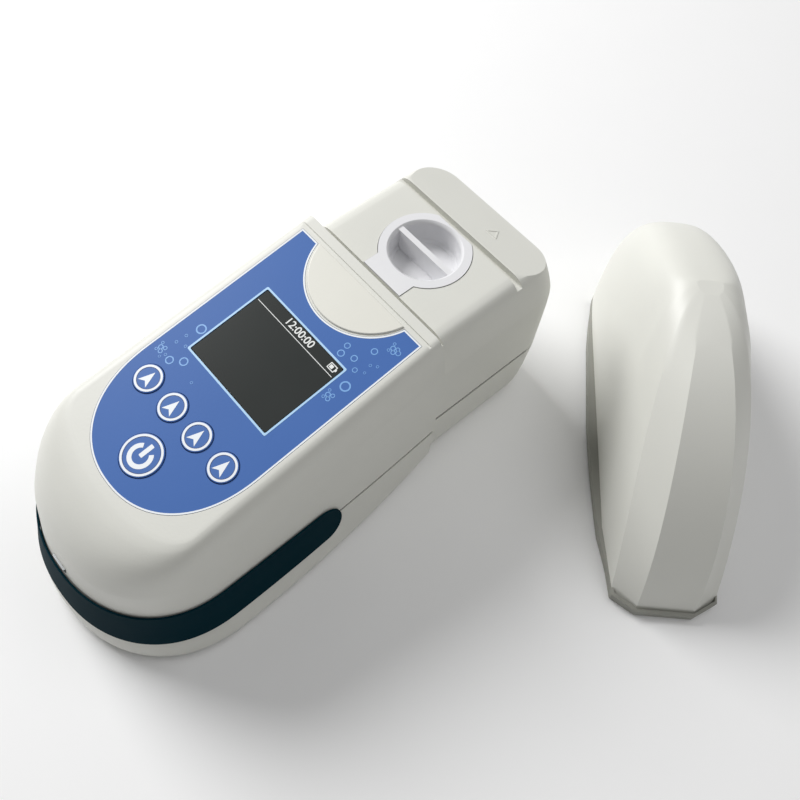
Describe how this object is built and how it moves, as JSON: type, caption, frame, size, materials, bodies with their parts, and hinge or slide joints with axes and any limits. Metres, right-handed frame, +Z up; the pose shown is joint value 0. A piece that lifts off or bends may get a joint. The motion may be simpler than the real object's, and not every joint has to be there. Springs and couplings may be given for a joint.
{
  "type": "digital water tester",
  "caption": "Bench photometer for pool and spa water: keypad and display on a sloping front, vial well with a lift-out plug behind, and a loose arched light shield beside it.",
  "frame": {"origin": "middle of the footprint of tester and shield together, on the table", "axes": "+Z up; the tester's keypad end faces -Y and its vial well end faces +Y; the shield stands on the +X side"},
  "size_m": [0.2158, 0.3034, 0.0856],
  "materials": {
    "housing": "fine-textured warm light grey moulding",
    "shield": "fine-textured warm light grey moulding",
    "seal": "black sealing cord",
    "band": "dark teal elastomer, satin",
    "overlay": "printed blue membrane, satin",
    "keycap": "printed blue key with a white ring and symbol",
    "switch": "black",
    "window": "dark grey tinted window",
    "display": "dark liquid-crystal panel",
    "sheet_metal": "folded sheet",
    "board": "green circuit board",
    "ribbon": "amber flat cable",
    "insert": "white, soft gloss",
    "optics_black": "matt black, absorbs stray light",
    "lens": "clear amber epoxy",
    "filter": "coloured interference filter",
    "can": "metal can",
    "chip": "black moulding compound",
    "port": "plated shell",
    "cell": "metal can in a dark sleeve",
    "contact": "nickel-plated strip",
    "tray": "black moulding",
    "foot": "soft grey-black pad",
    "screw": "zinc-plated"
  },
  "bodies": {
    "tester": {"bottom_shell": "housing", "front_top_shell": "housing", "rear_top_cover": "housing", "seam_gasket_front": "seal", "seam_gasket_rear": "seal", "grip_band": "band", "keypad_overlay": "overlay", "soft_switch_1": "switch", "soft_switch_2": "switch", "soft_switch_3": "switch", "soft_switch_4": "switch", "power_switch": "switch", "display_window": "window", "display_module": "display", "display_frame": "sheet_metal", "display_board": "board", "ribbon_cable": "ribbon", "optical_block": "optics_black", "led_source": "lens", "filter_disc": "filter", "photodiode": "can", "source_board": "board", "detector_board": "board", "main_board": "board", "controller_chip": "chip", "buzzer": "chip", "charge_port": "port", "battery_cell_1": "cell", "battery_cell_2": "cell", "battery_cell_3": "cell", "battery_cell_4": "cell", "contact_strip_front": "contact", "contact_strip_rear": "contact", "cell_tray": "tray", "foot_front_left": "foot", "foot_front_right": "foot", "foot_rear_left": "foot", "foot_rear_right": "foot", "housing_screw_1": "screw", "housing_screw_2": "screw", "housing_screw_3": "screw", "housing_screw_4": "screw"},
    "key_1": {"soft_key_1": "keycap"},
    "key_2": {"soft_key_2": "keycap"},
    "key_3": {"soft_key_3": "keycap"},
    "key_4": {"soft_key_4": "keycap"},
    "key_power": {"power_key": "keycap"},
    "plug": {"well_plug": "insert"},
    "cover": {"battery_cover": "housing"},
    "shield": {"light_shield": "shield"}
  },
  "joints": [
    {"name": "key_1_press", "type": "slide", "parent": "tester", "child": "key_1", "axis": [0, -0.1607, 0.987], "range_m": [-0.0004, 0], "stiffness_N_per_m": 600},
    {"name": "key_2_press", "type": "slide", "parent": "tester", "child": "key_2", "axis": [0, -0.1607, 0.987], "range_m": [-0.0004, 0], "stiffness_N_per_m": 600},
    {"name": "key_3_press", "type": "slide", "parent": "tester", "child": "key_3", "axis": [0, -0.1607, 0.987], "range_m": [-0.0004, 0], "stiffness_N_per_m": 600},
    {"name": "key_4_press", "type": "slide", "parent": "tester", "child": "key_4", "axis": [0, -0.1607, 0.987], "range_m": [-0.0004, 0], "stiffness_N_per_m": 600},
    {"name": "key_power_press", "type": "slide", "parent": "tester", "child": "key_power", "axis": [0, -0.1607, 0.987], "range_m": [-0.0004, 0], "stiffness_N_per_m": 600},
    {"name": "plug_lift", "type": "slide", "parent": "tester", "child": "plug", "axis": [0, 0, 1], "range_m": [0, 0.08]},
    {"name": "cover_slide", "type": "slide", "parent": "tester", "child": "cover", "axis": [0, 1, 0], "range_m": [0, 0.04]},
    {"name": "shield_lift", "type": "slide", "parent": "tester", "child": "shield", "axis": [0, 0, 1], "range_m": [0, 0.12]}
  ]
}
